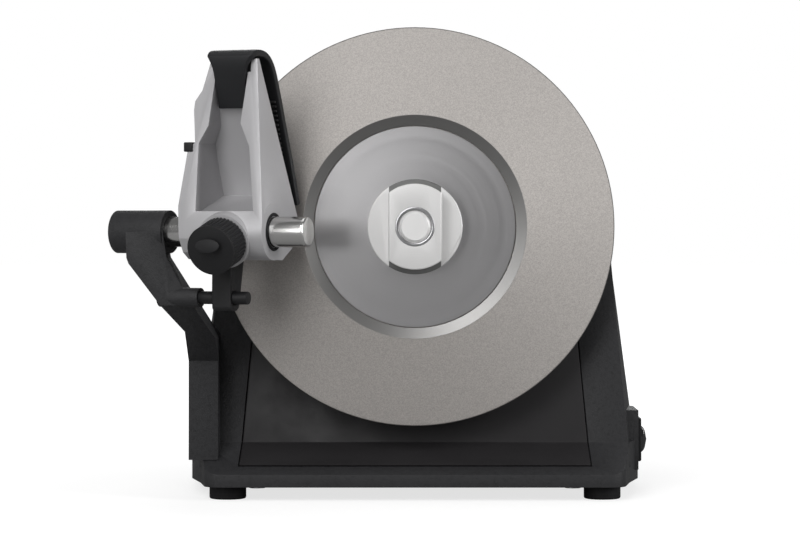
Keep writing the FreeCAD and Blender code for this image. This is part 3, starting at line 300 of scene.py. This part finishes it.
def turned_metal(name, color, roughness, metallic=1.0, depth=0.004, dish=0.0):
    """Metal faced on a lathe: rings about the wheels' axis in its colour and surface."""
    made, tree, shader, where = start_material(name)
    around = place_group(tree, RADIUS, where)
    rings = noise_of_radius(tree, around.outputs["Radius"], 5200.0)
    slow = noise_of_radius(tree, around.outputs["Radius"], 260.0)
    gain = range_of(tree, rings, 0.25, 0.75, 0.9, 1.1)
    toned = place_group(tree, TONE, where, Color=(*color, 1), Amount=0.05, Patch_Scale=18.0)
    scaled = tree.nodes.new("ShaderNodeVectorMath")
    scaled.operation = "SCALE"
    tree.links.new(toned.outputs["Color"], scaled.inputs[0])
    tree.links.new(gain, scaled.inputs["Scale"])
    tree.links.new(scaled.outputs[0], shader.inputs["Base Color"])
    shader.inputs["Metallic"].default_value = metallic
    shader.inputs["Anisotropic"].default_value = 0.6
    tree.links.new(range_of(tree, slow, 0.3, 0.7, roughness - 0.03, roughness + 0.04),
                   shader.inputs["Roughness"])
    bump = add(tree, "ShaderNodeBump", Strength=1.0, Distance=depth * MM)
    tree.links.new(rings, bump.inputs["Height"])
    if dish:
        crown = add(tree, "ShaderNodeBump", Strength=1.0, Distance=1.0)
        fall = math_node(tree, "MULTIPLY", around.outputs["Radius"], -dish)
        tree.links.new(fall, crown.inputs["Height"])
        tree.links.new(crown.outputs[0], bump.inputs["Normal"])
    tree.links.new(bump.outputs[0], shader.inputs["Normal"])
    return made


def satin_nut():
    """Light satin metal, with painted shade darkening the two low arc zones beyond the grip's ends."""
    made = turned_metal("satin_nut", (0.69, 0.685, 0.68), 0.42, metallic=0.25, depth=0.002)
    tree = made.node_tree
    shader = tree.nodes["Principled BSDF"]
    where = tree.nodes.new("ShaderNodeTexCoord").outputs["Object"]
    radius = place_group(tree, RADIUS, where).outputs["Radius"]
    split = tree.nodes.new("ShaderNodeSeparateXYZ")
    tree.links.new(where, split.inputs[0])
    across = math_node(tree, "ABSOLUTE", math_node(tree, "SUBTRACT", split.outputs["X"], AXIS_X))
    beside = range_of(tree, across, NUT_GRIP_HALF - 0.05 * MM, NUT_GRIP_HALF + 0.1 * MM, 1.0, 0.0)
    beyond = range_of(tree, radius, NUT_GRIP_END - 0.05 * MM, NUT_GRIP_END + 0.1 * MM, 0.0, 1.0)
    # Painted shade: the low zones beyond the grip's ends are darkened in colour.
    painted_shade_arcs = math_node(tree, "MULTIPLY", beside, beyond)
    light = shader.inputs["Base Color"].links[0].from_socket
    tree.links.new(mix_color(tree, painted_shade_arcs, light, (0.13, 0.132, 0.128)), shader.inputs["Base Color"])
    return made


FINISH = {
    # The casting's raised grain peaks get a painted highlight.
    "casting": coated("cast_black_coating", (0.013, 0.013, 0.014), 0.6, grain=1250.0, depth=0.12, grain_peak_highlight=0.3,
                      tone=0.08, softness=0.8, specular=0.34, rough_swing=0.03),
    "panel": coated("smooth_black_coating", (0.013, 0.012, 0.013), 0.56, grain=1500.0, depth=0.012,
                    tone=0.06, specular=0.3),
    "rubber": coated("foot_rubber", (0.008, 0.008, 0.009), 0.66, grain=1300.0, depth=0.03,
                     tone=0.2, specular=0.25),
    "diamond": grit_wheel("diamond_grit", (0.44, 0.415, 0.395), RECESS_RADIUS,
                          RECESS_FLOOR_RADIUS, WHEEL_RADIUS),
    "honing": grit_wheel("honing_compound", (0.20, 0.19, 0.18), RECESS_RADIUS,
                         RECESS_FLOOR_RADIUS, HONING_RADIUS),
    "brushed": turned_metal("brushed_disc", (0.49, 0.483, 0.49), 0.33, dish=0.075),
    "nut": satin_nut(),
    "chrome": coated("ground_steel", (0.60, 0.595, 0.585), 0.2, metallic=1.0, grain=1200.0,
                     depth=0.002, tone=0.03, rough_swing=0.03),
    "zinc": coated("cast_zinc", (0.44, 0.435, 0.445), 0.48, metallic=0.3, grain=1100.0,
                   depth=0.02, tone=0.05),
    "black_plastic": coated("black_plastic", (0.010, 0.010, 0.011), 0.52, grain=1400.0,
                            depth=0.03, tone=0.1, specular=0.3),
    "strap": coated("strap_plastic", (0.013, 0.0135, 0.015), 0.48, grain=1500.0, depth=0.02,
                    tone=0.1, specular=0.3),
    "rocker": coated("gloss_black", (0.010, 0.010, 0.011), 0.16, grain=400.0, depth=0.004,
                     tone=0.1, coat=0.6),
    "steel": coated("plain_steel", (0.42, 0.42, 0.43), 0.32, metallic=1.0, grain=900.0,
                    depth=0.008, tone=0.12),
    "copper": coated("enamelled_wire", (0.42, 0.14, 0.05), 0.35, metallic=0.8, grain=1600.0,
                     depth=0.1, tone=0.3, patch=400.0),
}
SHAFT_END = turned_metal("shaft_end", (0.80, 0.795, 0.79), 0.4, metallic=0.3, depth=0.003)
RIBBED = coated("ribbed_pad", (0.010, 0.009, 0.010), 0.7, grain=1100.0, depth=0.2, tone=0.3, softness=1.0)

for name, node in NODES.items():
    node.data.materials.clear()
    node.data.materials.append(SHAFT_END if name == "main_shaft" else FINISH[SLOT_OF[name]])


# Pieces with softened edges stand for the hard-edged nodes

def only(thing):
    bpy.ops.object.select_all(action="DESELECT")
    thing.select_set(True)
    bpy.context.view_layer.objects.active = thing


def apply_all(thing):
    only(thing)
    for modifier in list(thing.modifiers):
        bpy.ops.object.modifier_apply(modifier=modifier.name)


def tidy_copy(node):
    """A node's mesh as a piece of its own, its loose triangles joined into faces."""
    source = NODES[node]
    piece = bpy.data.objects.new(node + "_piece", source.data.copy())
    bpy.context.scene.collection.objects.link(piece)
    only(piece)
    bpy.ops.mesh.customdata_custom_splitnormals_clear()
    bpy.ops.object.mode_set(mode="EDIT")
    bpy.ops.mesh.select_all(action="SELECT")
    bpy.ops.mesh.remove_doubles(threshold=0.00001)
    bpy.ops.mesh.dissolve_limited(angle_limit=math.radians(0.3))
    bpy.ops.object.mode_set(mode="OBJECT")
    return piece


def soften(node, width, segments=2, angle=28):
    """The node with every edge sharper than the angle rounded over by the width in mm."""
    piece = tidy_copy(node)
    bevel = piece.modifiers.new("rounding", "BEVEL")
    bevel.width = width * MM
    bevel.segments = segments
    bevel.limit_method = "ANGLE"
    bevel.angle_limit = math.radians(angle)
    bevel.use_clamp_overlap = True
    bevel.miter_outer = "MITER_ARC"
    apply_all(piece)
    only(piece)
    bpy.ops.object.shade_smooth_by_angle(angle=math.radians(32))
    stand_for(piece, node)
    return piece


def stand_for(piece, node):
    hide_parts(node)
    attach(piece, BODY_OF[node])


ROUNDED = {
    "housing": (1.1, 3),
    "guide_arm": (1.2, 3),
    "knife_guide": (0.7, 3),
    "angle_lever": (1.0, 3),
    "clamp_knob": (0.35, 2),
    "wheel_nut": (0.9, 3),
    "honing_nut": (0.9, 3),
    "switch_rocker": (1.4, 4),
    "switch_body": (0.8, 3),
    "wheel_side_panel": (0.5, 2),
    "honing_side_panel": (0.5, 2),
    "guide_rod": (0.5, 3),
    "support_pin": (0.4, 2),
    "power_inlet": (0.5, 2),
}
for foot in ("front_left", "front_right", "rear_left", "rear_right"):
    ROUNDED["foot_" + foot] = (0.9, 3)
for node, (width, segments) in ROUNDED.items():
    soften(node, width, segments)


# Blade presser: one ribbon bent over the horns and down behind the guide

def ribbon_profile():
    """The loop's middle line, in (away, up) millimetres, with the ribbon's two side edges."""
    return [
        (-2.9, 57.0, -5.3, 9.3),
        (-6.6, 66.0, -5.0, 10.4),
        (-10.6, 75.5, -4.2, 11.8),
        (-11.2, 79.6, -7.2, 15.6),
        (-8.6, 81.6, -7.9, 16.1),
        (-3.0, 81.9, -7.9, 16.2),
        (2.0, 81.3, -8.0, 16.4),
        (6.6, 78.6, -8.2, 16.7),
        (9.6, 73.6, -8.8, 17.1),
        (11.8, 66.5, -9.4, 17.6),
        (15.9, 54.0, -10.4, 18.2),
        (20.2, 40.0, -11.6, 19.0),
        (24.6, 26.0, -12.8, 19.8),
        (28.6, 12.5, -13.8, 20.2),
    ]


def make_presser():
    points = ribbon_profile()
    bpy.ops.mesh.primitive_grid_add(x_subdivisions=4, y_subdivisions=len(points) - 1, size=1)
    ribbon = bpy.context.object
    ribbon.name = "presser_ribbon"
    columns = 5
    for index, vertex in enumerate(ribbon.data.vertices):
        row, column = divmod(index, columns)
        away, up, left, right = points[row]
        x = left + (right - left) * column / (columns - 1)
        vertex.co = rod_point(x, away, up)
    only(ribbon)
    wall = ribbon.modifiers.new("wall", "SOLIDIFY")
    wall.thickness = 3.4 * MM
    wall.offset = 0
    rounding = ribbon.modifiers.new("rounding", "BEVEL")
    rounding.width = 0.7 * MM
    rounding.segments = 2
    rounding.limit_method = "ANGLE"
    rounding.angle_limit = math.radians(50)
    smooth = ribbon.modifiers.new("smooth", "SUBSURF")
    smooth.levels = 2
    smooth.render_levels = 2
    apply_all(ribbon)
    bpy.ops.object.mode_set(mode="EDIT")
    bpy.ops.mesh.select_all(action="SELECT")
    bpy.ops.mesh.normals_make_consistent(inside=False)
    bpy.ops.object.mode_set(mode="OBJECT")
    bpy.ops.object.shade_smooth_by_angle(angle=math.radians(40))
    ribbon.data.materials.append(FINISH["strap"])
    stand_for(ribbon, "blade_presser")


make_presser()


def block(name, center, size, material, body, round_by):
    """A small rounded block in the rod's frame."""
    bpy.ops.mesh.primitive_cube_add(size=1)
    made = bpy.context.object
    made.name = name
    for vertex in made.data.vertices:
        local = [center[i] + vertex.co[i] * size[i] for i in range(3)]
        vertex.co = rod_point(*local)
    rounding = made.modifiers.new("rounding", "BEVEL")
    rounding.width = round_by * MM
    rounding.segments = 3
    apply_all(made)
    bpy.ops.object.shade_smooth_by_angle(angle=math.radians(35))
    made.data.materials.append(material)
    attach(made, body)
    return made


block("stop_insert", (-17.4, -9.0, 39.0), (4.6, 4.6, 4.4), FINISH["black_plastic"],
      "guide", 0.5)
RIB_COUNT = 22
RIB_TOP = 60.0
RIB_PITCH = 2.1
RIB_TOP_AWAY = 13.0
RIB_SLOPE = 0.315
for rib in range(RIB_COUNT):
    up = RIB_TOP - rib * RIB_PITCH
    away = RIB_TOP_AWAY + (RIB_TOP - up) * RIB_SLOPE
    block("pad_rib_%02d" % rib, (4.2, away - 1.5, up), (24.0, 1.2, 1.1), RIBBED, "guide", 0.35)


def flat_ring(name, center, along, radius, wide, deep, material, body):
    """A low ring: a torus pressed flat along its axis."""
    bpy.ops.mesh.primitive_torus_add(major_segments=96, minor_segments=16,
                                     major_radius=radius * MM, minor_radius=wide * MM)
    ring = bpy.context.object
    ring.name = name
    turn = Vector((0, 0, 1)).rotation_difference(along).to_matrix().to_4x4()
    press = Matrix.Diagonal((1, 1, deep / wide, 1))
    ring.data.transform(Matrix.Translation(center) @ turn @ press)
    only(ring)
    bpy.ops.object.shade_smooth()
    ring.data.materials.append(material)
    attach(ring, body)


nut_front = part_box("wheel_nut")[0].y
far_nut_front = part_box("honing_nut")[1].y
flat_ring("shaft_ring", Vector((AXIS_X, nut_front + 0.1 * MM, AXIS_Z)), Vector((0, 1, 0)),
          8.45, 0.8, 0.35, FINISH["steel"], "wheel_lock")
flat_ring("far_shaft_ring", Vector((AXIS_X, far_nut_front - 0.1 * MM, AXIS_Z)), Vector((0, 1, 0)),
          8.45, 0.8, 0.35, FINISH["steel"], "honing_lock")
# Painted shade: a flat black ring stands for the dark gap where the rod enters the guide's bore.
flat_ring("bore_gap_shade_ring", rod_point(21.0, 0, 0), ROD_ALONG, 8.0, 0.8, 0.45,
          FINISH["rubber"], "guide")


def knob_oval():
    """A plain raised oval on the knob's face."""
    low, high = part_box("clamp_knob")
    bpy.ops.mesh.primitive_cylinder_add(vertices=64, radius=1, depth=1)
    oval = bpy.context.object
    oval.name = "knob_oval"
    middle = (low + high) / 2 - ROD_ORIGIN
    x, up = middle.dot(ROD_ALONG) / MM, middle.z / MM
    half_long = 6.032
    half_tall = 3.132
    thick = 0.5
    sunk = 0.2
    face = min((Vector(corner) - ROD_ORIGIN).dot(ROD_AWAY) / MM
               for corner in knob_points())
    for vertex in oval.data.vertices:
        across, tall, deep = vertex.co
        vertex.co = rod_point(x + across * half_long, face + sunk + deep * thick, up + tall * half_tall)
    rounding = oval.modifiers.new("rounding", "BEVEL")
    rounding.width = 0.25 * MM
    rounding.segments = 2
    rounding.limit_method = "ANGLE"
    apply_all(oval)
    bpy.ops.object.mode_set(mode="EDIT")
    bpy.ops.mesh.select_all(action="SELECT")
    bpy.ops.mesh.normals_make_consistent(inside=False)
    bpy.ops.object.mode_set(mode="OBJECT")
    bpy.ops.object.shade_smooth_by_angle(angle=math.radians(35))
    oval.data.materials.append(FINISH["black_plastic"])
    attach(oval, "knob")


def knob_points():
    return [vertex.co for vertex in NODES["clamp_knob"].data.vertices]


knob_oval()


# Camera, light and floor

def aim_camera():
    """The photograph's view: square to the wheel, aimed at its axis."""
    distance = 1.330
    pixels_per_metre = 1 / 0.000476
    long_side = 800.0
    data = bpy.data.cameras.new("photo_view")
    camera = bpy.data.objects.new("photo_view", data)
    bpy.context.scene.collection.objects.link(camera)
    camera.location = (AXIS_X, RIM_Y - distance, AXIS_Z)
    camera.rotation_euler = (math.radians(90), 0, 0)
    data.sensor_width = 36
    data.lens = 36 * pixels_per_metre * distance / long_side
    data.shift_x = -15.0 / long_side
    data.shift_y = -39.8 / long_side
    data.clip_start = 0.05
    data.clip_end = 30
    bpy.context.scene.camera = camera


def area_lamp(name, place, aim, size, power, tall=None):
    data = bpy.data.lights.new(name, "AREA")
    data.energy = power
    data.size = size
    if tall:
        data.shape = "RECTANGLE"
        data.size_y = tall
    lamp = bpy.data.objects.new(name, data)
    bpy.context.scene.collection.objects.link(lamp)
    lamp.location = place
    lamp.rotation_euler = (Vector(aim) - Vector(place)).to_track_quat("-Z", "Y").to_euler()


def white_for_camera(tree, shader):
    """White to the camera and through clear things, the plain shader to all other light."""
    path = tree.nodes.new("ShaderNodeLightPath")
    seen = math_node(tree, "MAXIMUM", path.outputs["Is Camera Ray"], path.outputs["Is Transmission Ray"])
    glow = tree.nodes.new("ShaderNodeBackground")
    glow.inputs["Color"].default_value = (1, 1, 1, 1)
    glow.inputs["Strength"].default_value = 1.0
    mixed = tree.nodes.new("ShaderNodeMixShader")
    tree.links.new(seen, mixed.inputs[0])
    tree.links.new(shader.outputs[0], mixed.inputs[1])
    tree.links.new(glow.outputs[0], mixed.inputs[2])
    return mixed


def light_scene():
    """Two soft lamps in front, strips at the sides, lamps above and behind, and a dim room."""
    middle = (AXIS_X, RIM_Y, AXIS_Z)
    area_lamp("high_front", (-0.55, -1.6, 1.25), middle, 0.9, 17)
    area_lamp("left_front", (-1.1, -2.0, 0.55), middle, 0.8, 11, 1.0)
    area_lamp("right_side", (1.45, -0.75, 0.6), middle, 0.4, 14, 1.0)
    area_lamp("left_side", (-1.4, -0.3, 0.35), middle, 0.35, 3, 1.3)
    area_lamp("overhead", (0.0, 0.15, 1.6), middle, 1.0, 4)
    area_lamp("behind", (0.2, 1.6, 0.9), (0, 0, 0.12), 1.0, 9)
    world = bpy.data.worlds.new("studio")
    bpy.context.scene.world = world
    world.use_nodes = True
    tree = world.node_tree
    plain = tree.nodes["Background"]
    plain.inputs["Color"].default_value = (0.9, 0.9, 0.9, 1)
    plain.inputs["Strength"].default_value = 0.2
    mixed = white_for_camera(tree, plain)
    tree.links.new(mixed.outputs[0], tree.nodes["World Output"].inputs["Surface"])


def lay_floor():
    """A white floor that keeps the shadow close to the feet."""
    bpy.ops.mesh.primitive_plane_add(size=16, location=(0, 0, 0))
    floor = bpy.context.object
    floor.name = "studio_floor"
    made, tree, shader, where = start_material("white_floor")
    shader.inputs["Base Color"].default_value = (0.35, 0.35, 0.35, 1)
    shader.inputs["Roughness"].default_value = 0.9
    shader.inputs["Specular IOR Level"].default_value = 0.0
    away = tree.nodes.new("ShaderNodeVectorMath")
    away.operation = "LENGTH"
    tree.links.new(where, away.inputs[0])
    glow = range_of(tree, away.outputs["Value"], 0.15, 0.6, 0.74, 1.0)
    path = tree.nodes.new("ShaderNodeLightPath")
    lift = math_node(tree, "MULTIPLY", path.outputs["Is Camera Ray"], glow)
    shader.inputs["Emission Color"].default_value = (1, 1, 1, 1)
    tree.links.new(lift, shader.inputs["Emission Strength"])
    floor.data.materials.append(made)


aim_camera()
light_scene()
lay_floor()
bpy.context.scene.view_settings.view_transform = "Standard"
